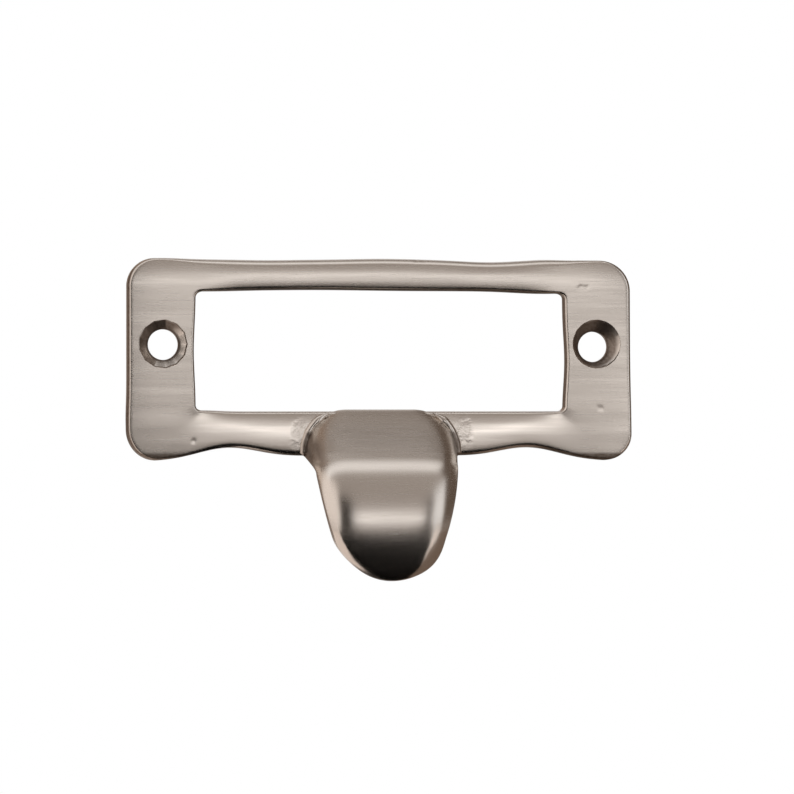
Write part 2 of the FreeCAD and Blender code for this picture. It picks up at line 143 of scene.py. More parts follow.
def castLoop(s, steps, spread=1.0, spreadTo=0.0):
    # clockwise from the top right corner: four times a quarter circle and a straight run, then every point
    # moves outwards by its edge's swell times the square of the normal, so that two edges share a corner
    left, right, bottom, top = s["edges"]
    cornerSteps, shortSteps, longSteps = steps
    signs = np.array([(1, 1), (1, -1), (-1, -1), (-1, 1)])
    radius = np.array(s["corners"])[:, None]
    middle = np.array([(right, top), (right, bottom), (left, bottom), (left, top)]) - signs * radius
    runs, normals = [], []
    for k, sideSteps in enumerate((shortSteps, longSteps, shortSteps, longSteps)):
        angle = np.radians(np.linspace(90, 0, cornerSteps, endpoint=False) - 90 * k)
        out = np.stack([np.cos(angle), np.sin(angle)], axis=1)
        side = signs[k] + signs[(k + 1) % 4]
        side = side / np.abs(side).max()
        # even steps on the outer loop; on the window the long runs' middle stretch is spread
        v = np.linspace(-1, 1, sideSteps, endpoint=False)
        ratio = spread if sideSteps == longSteps else 1.0
        beyond = np.clip((np.abs(v) - spreadTo) / (1 - spreadTo), 0, 1)
        v = ratio * v - (ratio - 1) * np.sign(v) * beyond ** 2
        first = middle[k] + radius[k] * side
        last = middle[(k + 1) % 4] + radius[(k + 1) % 4] * side
        runs += [middle[k] + radius[k] * out, first + (last - first) * (v[:, None] + 1) / 2]
        normals += [out, np.tile(side, (sideSteps, 1))]
    (x, z), (outX, outZ) = np.concatenate(runs).T, np.concatenate(normals).T
    moveX = outX * np.abs(outX) * np.where(outX > 0, swell(z, s["right"]), swell(z, s["left"]))
    moveZ = outZ * np.abs(outZ) * np.where(outZ > 0, swell(x, s["top"]), swell(x, s["bottom"]))
    return np.stack([x + moveX, z + moveZ], axis=1)[:, None]


def frontDrop(x, z, q, width, upright, s):
    # how far the front lies behind its highest line. On a rail the slope grows from the crest, evenly
    # and by the square towards the sky, by the square towards the ground; on an ear it grows towards
    # the end. A rib counts as a rail's as far as it stands upright
    crest = np.where(z > 0, s["crestUpper"], s["crestLower"])
    t = np.where(q > crest, (q - crest) / (1 - crest), (q - crest) / crest)
    room = np.where(q > crest, 1 - crest, crest)
    up = np.where(z > 0, t, -t)
    sky, shade = np.clip(up, 0, None), np.clip(-up, 0, None)
    upper, lower = (width * room * (even * sky ** 2 / 2 + square * sky ** 3 / 3 + fall * shade ** 3 / 3)
                    for (even, square), fall in zip(s["skySlope"], s["shadeSlope"]))
    rail = np.where(z > 0, upper, lower)
    ear = np.where(x < 0, *s["earFall"]) * width * q ** 3 / 3
    ear = ear + s["earRoll"] * np.clip(z - s["earRollFrom"], 0, None) ** 2
    ear = ear + s["earTwist"] * z * np.clip((x - s["twistFrom"]) / s["twistOver"], 0, None) ** 2
    (upperFrom, lowerFrom), (upperFull, lowerFull) = s["earFrom"], s["earFull"]
    out = np.abs(x)
    flat = np.where(z > 0, ease(out, upperFrom, upperFull), ease(out, lowerFrom, lowerFull))
    drop = ear + (rail - ear) * upright * (1 - flat)
    for high, shrink, size, seed in s["waves"]:
        drop = drop + high * ripple(shrink * x, z, size, seed)
    rough = 1 + ripple(x, z, s["patchLump"], 1.1) + np.clip(ripple(x, z, s["patchPit"], 4.2), 0, None)
    for px, pz, halfX, halfZ in s["castPatches"]:
        near = ease(np.hypot((x - px) / halfX, (z - pz) / halfZ), *s["patchFade"])
        drop = drop + near * s["patchDepth"] * rough
    for px, pz, radius, deep in s["dents"]:
        drop = drop + deep * np.exp(-((x - px) ** 2 + (z - pz) ** 2) / radius ** 2)
    return drop


def buildFrame(s):
    # ring: (station, section) -> window point + across * (outer point - window point), with the depth
    # from the section: drafted wall, quarter round, front, quarter round, drafted wall, small round, back
    outer = castLoop(s["outer"], s["steps"])
    inner = castLoop(s["window"], s["steps"], s["spread"], s["spreadTo"])
    rib = outer - inner
    width = np.sqrt((rib ** 2).sum(2, keepdims=True))
    rib, width = rib / width, width[..., 0]
    foot = math.tan(math.radians(s["draft"])) * s["thickness"]
    turn = np.radians(np.linspace(s["draft"], 90, s["roundSteps"]))
    out = math.cos(math.radians(s["draft"])) - np.cos(turn)
    drop = 1 - np.sin(turn)
    front = width - 2 * foot
    flat = np.linspace(0, 1, s["acrossFront"])[1:-1]
    ri = s["windowRound"]
    upper = ease(outer[..., 1], *s["upperHeight"]) * ease(np.abs(outer[..., 0]), *s["upperReach"])
    ro = s["outerRound"] + (s["upperRound"] - s["outerRound"]) * upper
    inside = np.broadcast_to(ri * out, (len(outer), len(out)))
    middle = ri * out[-1] + (front - (ri + ro) * out[-1]) * flat
    outside = front - ro * out[::-1]
    across = np.concatenate([inside, middle, outside], axis=1)
    edge = [np.broadcast_to(ri * drop, inside.shape), np.zeros_like(middle), ro * drop[::-1]]
    edge = np.concatenate(edge, axis=1)
    place = inner + rib * (across + foot)[..., None]
    x, z, upright = place[..., 0], place[..., 1], rib[..., 1] ** 4
    depth = s["thickness"] - frontDrop(x, z, across / front, front, upright, s) - edge
    # walls from the front edges down to the small rounds at the back
    rb = s["backRound"]
    small = np.radians(np.linspace(0, 90, 5))[1:]
    down = np.linspace(1, 0, s["wallSteps"])[1:]
    shape = (len(outer), len(small))
    roundIn = np.broadcast_to(rb * (1 - np.cos(small)), shape)
    roundDepth = np.broadcast_to(rb * (1 - np.sin(small)), shape)

    def wall(top):
        # way in and depth: straight down from the front edge, in by the draft, then the small round
        sink = rb + (top - rb) * down
        wayIn = np.concatenate([foot * sink / top, roundIn], axis=1)
        return wayIn, np.concatenate([sink, roundDepth], axis=1)

    innerEnd, innerDepth = wall(depth[:, :1])
    outerEnd, outerDepth = wall(depth[:, -1:])
    rear = rb + (width - 2 * rb) * np.linspace(1, 0, s["acrossBack"])[1:-1]
    across = np.concatenate([innerEnd[:, ::-1], across + foot, width - outerEnd, rear], axis=1)
    depth = np.concatenate([innerDepth[:, ::-1], depth, outerDepth, np.zeros_like(rear)], axis=1)
    place = inner + rib * across[..., None]
    points = np.stack([place[..., 0], depth, place[..., 1]], axis=2)
    rows, columns = depth.shape
    return meshPiece("frameRing", points.reshape(-1, 3), [gridFaces(rows, columns, True, True)])


# Tongue: rows from the root to the tip, with a rim all the way round its outline

tongueShape = {
    "halfWidth": 11.3, "top": -9.6, "tip": -35.4, "shoulder": 6.3, "sideRadius": 40.0, "draft": 5.0,
    "lean": 0.75, "leanFrom": -28.0, "leanFull": -33.5,     # the tip stands a little to the right
    "rootDepth": 2.3, "slope": 54.0, "slopeDrop": 7.0, "bend": 8.0, "faceAngle": 28.0, "faceRadius": 15.5,
    "wall": 3.2, "rootBack": 1.25, "undersideAngle": 12.0, "undersideTop": -16.5,
    "hollow": 3.5, "hollowDip": 0.35,
    # the face falls back and its bend sinks towards the left and the right side
    "crown": (0.8, 1.2), "crownTaper": 0.28, "crownFrom": -16.0, "droop": (2.6, 1.8),
    "wave": (0.005, 0.25, 3.2, 1.7),                        # hand finishing, as on the frame
    # rim at the left, right, tip and root: how far it reaches in, and its angle from the wall's direction
    # by the share of the way out, as a soft bevel, a soft round and two rounds
    "rimReach": (1.35, 2.2, 0.9, 1.8),
    "rimAngles": [
        [(0, 90), (0.15, 80), (0.35, 58), (0.65, 44), (0.82, 34), (1, 0)],
        [(0, 90), (0.2, 76), (0.45, 60), (0.75, 40), (1, 0)],
        [(0, 90), (1, 0)],
        [(0, 90), (0.4, 68), (1, 0)],
    ],
    # parts of the outline's normal that make a side and the root
    "sideFrom": (0.25, 0.8), "rootFrom": (0.2, 0.9),
    "bevelFrom": (-21.5, -15.5),                            # the left bevel starts below the shoulder
    # the rims take no more than these shares of the wall
    "rimShare": 0.6, "backRound": 0.7, "backShare": 0.2,
    "leastWall": 0.4, "rows": 150, "columns": 72, "roundSteps": 6, "wallSteps": 8,
}


def tongueFront(z, s):
    # depth of the front at a height: straight slope, bend, then a wide arc to the tip;
    # also the height and depth of that arc's middle
    slope, face = math.radians(s["slope"]), math.radians(s["faceAngle"])
    slopeEnd = s["top"] - s["slopeDrop"]
    bendMid = slopeEnd - s["bend"] * math.sin(slope)
    bendDepth = s["rootDepth"] + s["slopeDrop"] * math.tan(slope) - s["bend"] * math.cos(slope)
    faceStart = bendMid + s["bend"] * math.sin(face)
    faceMid = faceStart - s["faceRadius"] * math.sin(face)
    faceDepth = bendDepth + (s["bend"] - s["faceRadius"]) * math.cos(face)
    straight = s["rootDepth"] + (s["top"] - z) * math.tan(slope)
    bent = bendDepth + np.sqrt(np.clip(s["bend"] ** 2 - (z - bendMid) ** 2, 0, None))
    arc = faceDepth + np.sqrt(np.clip(s["faceRadius"] ** 2 - (z - faceMid) ** 2, 1, None))
    return np.where(z > slopeEnd, straight, np.where(z > faceStart, bent, arc)), faceMid, faceDepth


def tongueBack(z, s):
    # depth of the back: flat root, underside, hollow, then an arc one wall behind the front;
    # the hollow is the smooth lower bound of underside and arc
    faceMid, faceDepth = tongueFront(np.zeros(1), s)[1:]
    radius, k = s["faceRadius"] - s["wall"], s["hollow"]
    arc = faceDepth + np.sqrt(np.clip(radius ** 2 - (z - faceMid) ** 2, 1, None))
    under = s["rootBack"] + (s["undersideTop"] - z) / math.tan(math.radians(s["undersideAngle"]))
    mix = np.clip(0.5 + 0.5 * (arc - under) / k, 0, 1)
    return np.maximum(arc + (under - arc) * mix - k * s["hollowDip"] * mix * (1 - mix), s["rootBack"])


def tongueOutline(s):
    # right half from the top corner to the tip as shoulder arc, side arc and tip arc, with outward normals
    shoulderLevel = s["top"] - s["shoulder"]
    length, half, bow = shoulderLevel - s["tip"], s["halfWidth"], s["sideRadius"]
    tipRadius = (length ** 2 + half ** 2 - 2 * half * bow) / (2 * (length - bow))
    tipMid = s["tip"] + tipRadius
    meet = math.asin((shoulderLevel - tipMid) / (bow - tipRadius))
    arcs = np.array([
        (half - s["shoulder"], shoulderLevel, s["shoulder"], math.pi / 2, 0),
        (half - bow, shoulderLevel, bow, 0, -meet),
        (0, tipMid, tipRadius, -meet, -math.pi / 2),
    ])
    midX, midZ, radius, first, last = arcs.T
    lengths = radius * (first - last)
    start = np.concatenate([[0], np.cumsum(lengths)])
    at = np.linspace(0, start[-1], s["rows"] + 1)
    k = np.clip(np.searchsorted(start, at, side="right") - 1, 0, 2)
    angle = first[k] + (last - first)[k] * (at - start[k]) / lengths[k]
    normal = np.stack([np.cos(angle), np.sin(angle)], axis=1)
    side = np.stack([midX[k], midZ[k]], axis=1) + radius[k][:, None] * normal
    side[-1, 0] = normal[-1, 0] = 0
    return side, normal


def rimProfile(angles, steps=18):
    # rim from the face to the wall: the sine and cosine of its angle from the wall's direction add up
    # to the reach outwards and the fall backwards, both as shares of the whole reach
    way = np.linspace(0, 1, 400)
    angle = np.radians(np.interp(way, *zip(*angles)))
    reach, fall = np.cumsum(np.sin(angle)), np.cumsum(np.cos(angle))
    pick = np.linspace(0, 1, steps)
    outward = (reach - reach[0]) / (reach[-1] - reach[0])
    return np.interp(pick, way, outward), np.interp(pick, way, fall / reach[-1])


def buildTongue(s):
    # outline loop: level top from left to right, right side to the tip, left side back up;
    # (loop, rim) -> outline point moved in along its normal, with the face's or the back's depth there
    side, normal = tongueOutline(s)
    mirror = np.array([-1, 1])
    rows, columns = s["rows"], s["columns"]
    across = np.linspace(-side[0, 0], side[0, 0], columns + 1)
    top = np.stack([across, np.full(columns + 1, s["top"])], axis=1)
    loop = np.concatenate([top, side[1:], side[-2:0:-1] * mirror])
    out = np.concatenate([np.tile([0.0, 1.0], (columns + 1, 1)), normal[1:], normal[-2:0:-1] * mirror])
    lean = math.tan(math.radians(s["draft"]))

    def frontDepth(place):
        # the front's depth; towards the sides the bend sinks by the sixth power of the way out,
        # and the face falls back by the fourth
        x, z = place[..., 0], place[..., 1]
        half = s["halfWidth"] + s["crownTaper"] * np.minimum(z - s["crownFrom"], 0)
        front = tongueFront(z + np.where(x < 0, *s["droop"]) * (x / half) ** 6, s)[0]
        high, shrink, size, seed = s["wave"]
        crown = np.where(x < 0, *s["crown"]) * (x / half) ** 4
        return front - crown - high * ripple(shrink * x, z, size, seed)

    def backDepth(place):
        # the back's depth, level from side to side
        return tongueBack(place[..., 1], s)

    def settled(inset, depthOf, lift):
        # rim points: moved in along the outline's normal by the inset and by the draft at their own depth,
        # which a few rounds settle
        depth = s["rootBack"]
        for again in range(4):
            place = loop[:, None] - out[:, None] * (inset + lean * (depth - s["rootBack"]))[..., None]
            depth = depthOf(place) + lift
        return place, depth

    left, right = ease(-out[:, 0], *s["sideFrom"]), ease(out[:, 0], *s["sideFrom"])
    root = np.maximum(ease(out[:, 1], *s["rootFrom"]), left * ease(loop[:, 1], *s["bevelFrom"]))
    tip = np.clip(1 - left - right - root, 0, None)
    share = np.stack([left * (1 - root), right * (1 - root), tip, root], axis=1)
    share /= share.sum(1, keepdims=True)
    shapes = [rimProfile(angles) for angles in s["rimAngles"]]
    room = np.clip(frontDepth(loop) - backDepth(loop), s["leastWall"], None)
    reach = (share @ np.array(s["rimReach"]))[:, None]
    inset = reach * (1 - share @ np.array([shape[0] for shape in shapes]))
    drop = reach * (share @ np.array([shape[1] for shape in shapes]))
    drop = drop * np.minimum(1, s["rimShare"] * room[:, None] / drop[:, -1:])
    rimFront, rimDepth = settled(inset, frontDepth, -drop)
    # small round at the back edge, from the wall to the back face
    turn = np.radians(np.linspace(0, 90, s["roundSteps"]))
    backRound = np.minimum(s["backRound"], s["backShare"] * room)[:, None]
    inset, lift = backRound * (1 - np.cos(turn)), backRound * (1 - np.sin(turn))
    rimBack, backRim = settled(inset, backDepth, lift)
    along = np.linspace(0, 1, s["wallSteps"])[1:-1]
    wall = rimFront[:, -1:] + (rimBack[:, :1] - rimFront[:, -1:]) * along[None, :, None]
    wallDepth = rimDepth[:, -1:] + (backRim[:, :1] - rimDepth[:, -1:]) * along
    rim = np.concatenate([rimFront, wall, rimBack], axis=1)
    depth = np.concatenate([rimDepth, wallDepth, backRim], axis=1)
    loops, profile = depth.shape
    points = [np.stack([rim[..., 0], depth, rim[..., 1]], axis=2).reshape(-1, 3)]
    faces, count = [gridFaces(loops, profile, True, False)], loops * profile
    # face and back: rows of points straight across between the two sides, with borders shared with the rim
    sheets = (rimFront[:, 0], frontDepth, 0), (rimBack[:, -1], backDepth, profile - 1)
    for edge, depthOf, column in sheets:
        right = edge[columns:columns + rows]
        left = np.concatenate([edge[:1], edge[:columns + rows:-1]])
        place = left[:, None] + (right - left)[:, None] * np.linspace(0, 1, columns + 1)[None, :, None]
        points.append(np.stack([place[..., 0], depthOf(place), place[..., 1]], axis=2).reshape(-1, 3))
        number = np.arange(rows * (columns + 1)).reshape(rows, columns + 1) + count
        number[0] = np.arange(columns + 1) * profile + column
        number[:, -1] = np.arange(columns, columns + rows) * profile + column
        number[1:, 0] = np.arange(loops - 1, columns + rows, -1) * profile + column
        tip = np.full(columns, (columns + rows) * profile + column)
        fan = np.stack([number[-1, :-1], number[-1, 1:], tip], axis=1)
        faces += [number.ravel()[gridFaces(rows, columns + 1)], fan]
        count += rows * (columns + 1)
    points = np.concatenate(points)
    points[:, 0] += s["lean"] * ease(points[:, 2], s["leanFrom"], s["leanFull"])
    return meshPiece("tongueHook", points, faces)


# Bead of cast metal where the tongue's shoulders stand on the lower rail

beadShape = {
    "radius": 0.66, "depth": 2.78, "out": 0.05,
    "from": 0.07, "to": 0.3,               # shares of the outline's way from the top to the tip
    "thin": 0.05, "fadeIn": (0.0, 0.3), "fadeOut": (1.0, 0.92),
    "uneven": 0.04, "lump": 1.9, "stations": 70, "around": 16,
}


def buildBead(s, sign):
    # tube: circles across the shoulder's line, of a radius that swells and shrinks, closed by two points
    side, normal = tongueOutline(tongueShape)
    at = np.linspace(s["from"], s["to"], s["stations"]) * tongueShape["rows"]
    index = np.arange(len(side))
    x, z = np.interp(at, index, side[:, 0]), np.interp(at, index, side[:, 1])
    nx, nz = np.interp(at, index, normal[:, 0]), np.interp(at, index, normal[:, 1])
    t = np.linspace(0, 1, s["stations"])
    full = s["thin"] + (1 - s["thin"]) * ease(t, *s["fadeIn"]) * ease(t, *s["fadeOut"])
    radius = s["radius"] * full * (1 + s["uneven"] * ripple(x + sign, z, s["lump"], 1.4 + sign))
    angle = np.linspace(0, 2 * math.pi, s["around"], endpoint=False)
    lateral = radius[:, None] * np.cos(angle) + s["out"]
    pointsX, pointsZ = x[:, None] + nx[:, None] * lateral, z[:, None] + nz[:, None] * lateral
    pointsDepth = s["depth"] + radius[:, None] * np.sin(angle)
    points = np.stack([sign * pointsX, pointsDepth, pointsZ], axis=2).reshape(-1, 3)
    endX, endZ = (x + nx * s["out"])[[0, -1]], (z + nz * s["out"])[[0, -1]]
    ends = np.stack([sign * endX, np.full(2, s["depth"]), endZ], axis=1)
    rows, columns = pointsX.shape
    ring = np.arange(columns)
    count, last = rows * columns, (rows - 1) * columns
    near = np.stack([ring, (ring + 1) % columns, np.full(columns, count)], axis=1)
    far = np.stack([last + ring, last + (ring + 1) % columns, np.full(columns, count + 1)], axis=1)
    faces = [gridFaces(rows, columns, False, True), near, far]
    return meshPiece("castBead", np.concatenate([points, ends]), faces)


# Cutters: countersunk holes and the card recess

holeShape = {
    "radius": 2.25, "rim": 3.55, "coneFrom": 1.75, "lip": 0.15, "facets": 208,
    # bore x, z; rim's shift in x, z; flats that the countersink left, and how flat they are
    "holes": [(-32.0, -0.1, -0.1, 0.1, 13, 1.04), (31.8, -0.35, 0.35, 0.43, 17, 0.39)],
    "stain": (0.0, 0.85),        # how brown each countersink is
}


def buildHoleCutter(s, x, z, shiftX, shiftZ, flats, flatness):
    # (angle, depth) -> bore, cone and lip; the cone's circle is partly a polygon,
    # and its middle drifts to the rim's
    start, lip, front = s["coneFrom"], s["lip"], frameShape["thickness"]
    # stations from behind the back to in front of the front
    depth = [-1.0, 1.0, start - 0.03, start + 0.03, 2.1, 2.4, 2.7]
    depth = np.array(depth + [front - lip, front - 0.3 * lip, front + 0.2 * lip, front + 1])
    drift = np.clip((depth - start) / (front - lip - start), 0, 1)
    radius = s["radius"] + (s["rim"] - s["radius"]) * drift + lip * ease(depth, front - lip, front + lip)
    angle = np.linspace(0, 2 * math.pi, s["facets"], endpoint=False)[:, None]
    piece = 2 * math.pi / flats
    polygon = math.cos(piece / 2) / np.cos(np.mod(angle, piece) - piece / 2)
    radius = radius * (1 + flatness * (polygon - 1) * drift)
    ringX = x + shiftX * drift + radius * np.cos(angle)
    ringZ = z + shiftZ * drift + radius * np.sin(angle)
    points = np.stack([ringX, np.broadcast_to(depth, ringX.shape), ringZ], axis=2)
    rows, columns = ringX.shape
    caps = [np.arange(rows)[None, ::-1] * columns, np.arange(rows)[None] * columns + columns - 1]
    return meshPiece("holeCutter", points.reshape(-1, 3), [gridFaces(rows, columns, True, False), *caps])


recessShape = {"halfWidth": 29.5, "bottom": -12.0, "top": 14.0, "depth": 0.9, "corner": 0.6}


def buildRecessCutter(s):
    # rectangle with two round lower corners, carried straight from behind the back face
    turn = np.linspace(0, math.pi / 2, 7)
    r = s["corner"]
    rightX = s["halfWidth"] - r + r * np.cos(turn)
    rightZ = s["bottom"] + r - r * np.sin(turn)
    x = np.concatenate([[s["halfWidth"]], rightX, -rightX[::-1], [-s["halfWidth"]]])
    z = np.concatenate([[s["top"]], rightZ, rightZ[::-1], [s["top"]]])
    points = np.stack(np.broadcast_arrays(x[:, None], np.array([-1.0, s["depth"]]), z[:, None]), axis=2)
    rows = len(x)
    caps = [np.arange(rows)[None, ::-1] * 2, np.arange(rows)[None] * 2 + 1]
    return meshPiece("recessCutter", points.reshape(-1, 3), [gridFaces(rows, 2, True, False), *caps])


def combine(base, tool, operation):
    # boolean with a throwaway tool; the result becomes the base's own mesh
    modifier = base.modifiers.new(operation, "BOOLEAN")
    modifier.operation, modifier.solver, modifier.object = operation, "MANIFOLD", tool
    result = bpy.data.meshes.new_from_object(base.evaluated_get(bpy.context.evaluated_depsgraph_get()))
    base.modifiers.clear()
    base.data = result
    bpy.data.objects.remove(tool)


casting = buildFrame(frameShape)
combine(casting, buildRecessCutter(recessShape), "DIFFERENCE")
combine(casting, buildTongue(tongueShape), "UNION")
for sign in (-1, 1):
    combine(casting, buildBead(beadShape, sign), "UNION")
for hole in holeShape["holes"]:
    combine(casting, buildHoleCutter(holeShape, *hole), "DIFFERENCE")
casting.name = casting.data.name = "labelFramePull"
casting.data.shade_smooth()
casting.data.set_sharp_from_angle(angle=math.radians(frameShape["sharpAngle"]))
casting.data.calc_loop_triangles()
print("casting:", len(casting.data.vertices), "points,", len(casting.data.loop_triangles), "triangles")


def linear(code):
    # sRGB hex to linear colour
    c = np.array([int(code[i:i + 2], 16) for i in (1, 3, 5)]) / 255
    return (*np.where(c <= 0.04045, c / 12.92, ((c + 0.055) / 1.055) ** 2.4).tolist(), 1.0)


def addNode(tree, kind, links={}, **settings):
    # one node, its properties, and what each socket holds: a value or another node's output
    node = tree.nodes.new(kind)
    for key, value in settings.items():
        setattr(node, key, value)
    for key, value in links.items():
        if isinstance(value, bpy.types.NodeSocket):
            tree.links.new(value, node.inputs[key])
        else:
            node.inputs[key].default_value = value
    return node


def emptyTree(owner):
    # node tree of a material or a world, without what it comes with
    owner.use_nodes = True
    owner.node_tree.nodes.clear()
    return owner.node_tree


# Cast brass, brushed along its length and nickel plated: a warm grey metal whose reflections are drawn out
# across the brushing. It is brown where brush and polish don't reach: in the holes, on the window's walls
# and on the back. The same brown is also painted in as shade on edges that face left and down, on the upper
# part of each countersink, and on the tongue's walls by its root and along its left side
nickelFinish = {
    # the tarnish colour is the real brown of bores, window walls and back, and also stands for painted
    # shade
    "colour": "#DAD2CA", "tarnishAndShade": "#5C4A3C",
    "roughness": 0.26, "roughSpread": 0.03, "polish": 0.07, "tarnishRoughness": 0.46, "anisotropy": 0.4,
    # millimetres and degrees; real scratches are finer, these are drawn wide enough to show
    "streakWidth": 0.3, "streakLength": 8.0, "streakDepth": 0.0016, "streakTurn": 1.5,
    "grain": 0.4, "grainDepth": 0.04,       # the cast skin's grain, in millimetres
    "thinnest": 0.75,                       # share of the tarnish and painted shade that its grain leaves everywhere
}


def brushedNickel(s):
    # metal that goes from nickel to tarnish and painted shade by their share times the grain; bump from the
    # streaks, and from the grain where the skin is as cast; highlights spread across the brushing
    material = bpy.data.materials.new("brushedNickelPlate")
    tree = emptyTree(material)
    coords = addNode(tree, "ShaderNodeTexCoord")
    # brown share: real tarnish, plus painted shade on edges, countersink tops and the tongue's sides
    tarnishAndShadeNode = addNode(tree, "ShaderNodeAttribute", attribute_name="tarnishAndShade")
    cast = addNode(tree, "ShaderNodeAttribute", attribute_name="castSkin")
    polish = addNode(tree, "ShaderNodeAttribute", attribute_name="polish")
    wide, long, grain = (1 / (s[size] * millimetre) for size in ("streakWidth", "streakLength", "grain"))
    stretch = addNode(tree, "ShaderNodeMapping", {
        "Vector": coords.outputs["Object"], "Rotation": (0, math.radians(s["streakTurn"]), 0),
        "Scale": (long, wide, wide)})
    streak = addNode(tree, "ShaderNodeTexNoise", {
        "Vector": stretch.outputs["Vector"], "Scale": 1.0, "Detail": 3.0, "Roughness": 0.6})
    skin = addNode(tree, "ShaderNodeTexNoise", {
        "Vector": coords.outputs["Object"], "Scale": grain, "Detail": 4.0, "Roughness": 0.65})
    brushed = addNode(tree, "ShaderNodeBump", {
        "Height": streak.outputs["Fac"], "Strength": 1.0, "Distance": s["streakDepth"] * millimetre})
    grainDeep = addNode(tree, "ShaderNodeMath", {
        0: cast.outputs["Fac"], 1: s["grainDepth"] * millimetre}, operation="MULTIPLY")
    pitted = addNode(tree, "ShaderNodeBump", {
        "Height": skin.outputs["Fac"], "Strength": 1.0, "Distance": grainDeep.outputs[0],
        "Normal": brushed.outputs["Normal"]})
    patches = addNode(tree, "ShaderNodeMapRange", {
        "Value": skin.outputs["Fac"], "From Min": 0.3, "From Max": 0.7,
        "To Min": s["thinnest"], "To Max": 1.0})
    # the brown share times its grain mixes in the tarnish colour, real tarnish and painted shade alike
    tarnishAndShadeShare = addNode(tree, "ShaderNodeMath", {
        0: tarnishAndShadeNode.outputs["Fac"], 1: patches.outputs[0]}, operation="MULTIPLY")
    colour = addNode(tree, "ShaderNodeMix", {
        0: tarnishAndShadeShare.outputs[0], 6: linear(s["colour"]), 7: linear(s["tarnishAndShade"])}, data_type="RGBA")
    streaky = addNode(tree, "ShaderNodeMapRange", {
        "Value": streak.outputs["Fac"], "From Min": 0.25, "From Max": 0.75,
        "To Min": s["roughness"] - s["roughSpread"], "To Max": s["roughness"] + s["roughSpread"]})
    polished = addNode(tree, "ShaderNodeMath", {
        0: polish.outputs["Fac"], 1: -s["polish"], 2: streaky.outputs[0]}, operation="MULTIPLY_ADD")
    rough = addNode(tree, "ShaderNodeMix", {
        0: tarnishAndShadeShare.outputs[0], 2: polished.outputs[0], 3: s["tarnishRoughness"]}, data_type="FLOAT")
    tangent = addNode(tree, "ShaderNodeTangent", direction_type="UV_MAP", uv_map="brushing")
    shader = addNode(tree, "ShaderNodeBsdfPrincipled", {
        "Base Color": colour.outputs[2], "Metallic": 1.0, "Roughness": rough.outputs[0],
        "Anisotropic": s["anisotropy"], "Tangent": tangent.outputs["Tangent"],
        "Normal": pitted.outputs["Normal"]})
    addNode(tree, "ShaderNodeOutputMaterial", {"Surface": shader.outputs["BSDF"]})
    return material


# Where the finish differs from the brushed front, and where shade is painted in as brown. A place is a
# product of steps over a measure, each from none at its first number to full at its second. Measures are x,
# out from the middle, z and depth in millimetres, the normal's parts to the left, front and below, and a
# hole's own: off its axis, and above it
wear = {
    "uvDepth": (0.6, 0.37), "uvSize": 100.0,        # depth in u and v, and millimetres to the whole map
    "lowerLeft": (0.9, 0.35),                       # parts of left and below in the measure of both
    "places": {
        # tarnish, and painted shade on edges, on the tongue's walls by its root and on its left side
        "back": [("depth", 1.0, 0.8)],
        "window": [("out", 28.2, 28.0), ("z", -9.6, -9.1), ("z", 8.4, 8.2), ("depth", 2.93, 2.68)],
        "tongueRoot": [("out", 9.5, 8.5), ("z", -8.0, -9.0)],
        "opening": [("out", 29.0, 28.5), ("z", -11.0, -10.5), ("z", 9.0, 8.5)],
        # painted shade on outer edges that face left and down, deeper on the lower part of the piece
        "edge": [("front", 0.97, 0.7), ("lowerLeft", 0.25, 0.6), ("out", 11.5, 12.5)],
        "shadedLowEdge": [("z", -6.0, -11.0)],
        "underside": [("below", 0.3, 0.7)],
        # painted shade in the crease where the tongue's walls and left shoulder meet the rail
        "shadedRootFoot": [("z", -15.8, -16.3)],
        "shadedRootWall": [("z", -12.5, -13.3), ("depth", 3.1, 3.5)],
        "shadeBesideRoot": [("out", 9.9, 10.5), ("z", -20.5, -18.0), ("depth", 9.5, 7.5)],
        "shoulder": [("x", -8.4, -10.6), ("z", -13.0, -15.0), ("z", -18.5, -16.5), ("depth", 3.1, 3.5)],
        # painted shade on the tongue's surfaces that face left
        "shadeAlongLeft": [("left", 0.85, 0.97), ("z", -16.5, -17.5)],
        # polish
        "lowerRail": [("z", -9.5, -10.5), ("z", -18.0, -17.0), ("out", 30.0, 20.0), ("out", 11.0, 12.0)],
        "tongueFace": [("z", -21.0, -25.0)],
    },
    "holePlaces": {
        "hole": [("off", 3.75, 3.45), ("depth", 0.1, 0.5)],
        "cone": [("depth", 2.78, 2.53)],
        # painted shade on the upper part of each countersink, which faces down
        "shadedUpperCone": [("above", 0.3, 2.0), ("depth", 2.97, 2.72)],
        "bore": [("depth", 2.0, 1.75)],
    },
    "amounts": {"back": 0.45, "window": 0.9, "shadedUpperCone": 0.85, "bore": 0.95, "shadeBesideRoot": 0.9,
                "shadeAlongLeft": 0.6, "tongueFace": 0.2, "tarnishSkin": 0.3},
    # painted shade: an edge is brown near the front, and underneath further back too
    "edgeDepth": (1.0, 1.6), "undersideReach": 2.0,
    "holeClear": (4.2, 4.4), "holeLean": 0.5, "skinFade": (1.15, 0.6),
}


def sharesOf(places, measures):
    # share of every place at every point: the product of its eased steps
    return {name: np.prod([ease(measures[key], none, full) for key, none, full in steps], axis=0)
            for name, steps in places.items()}


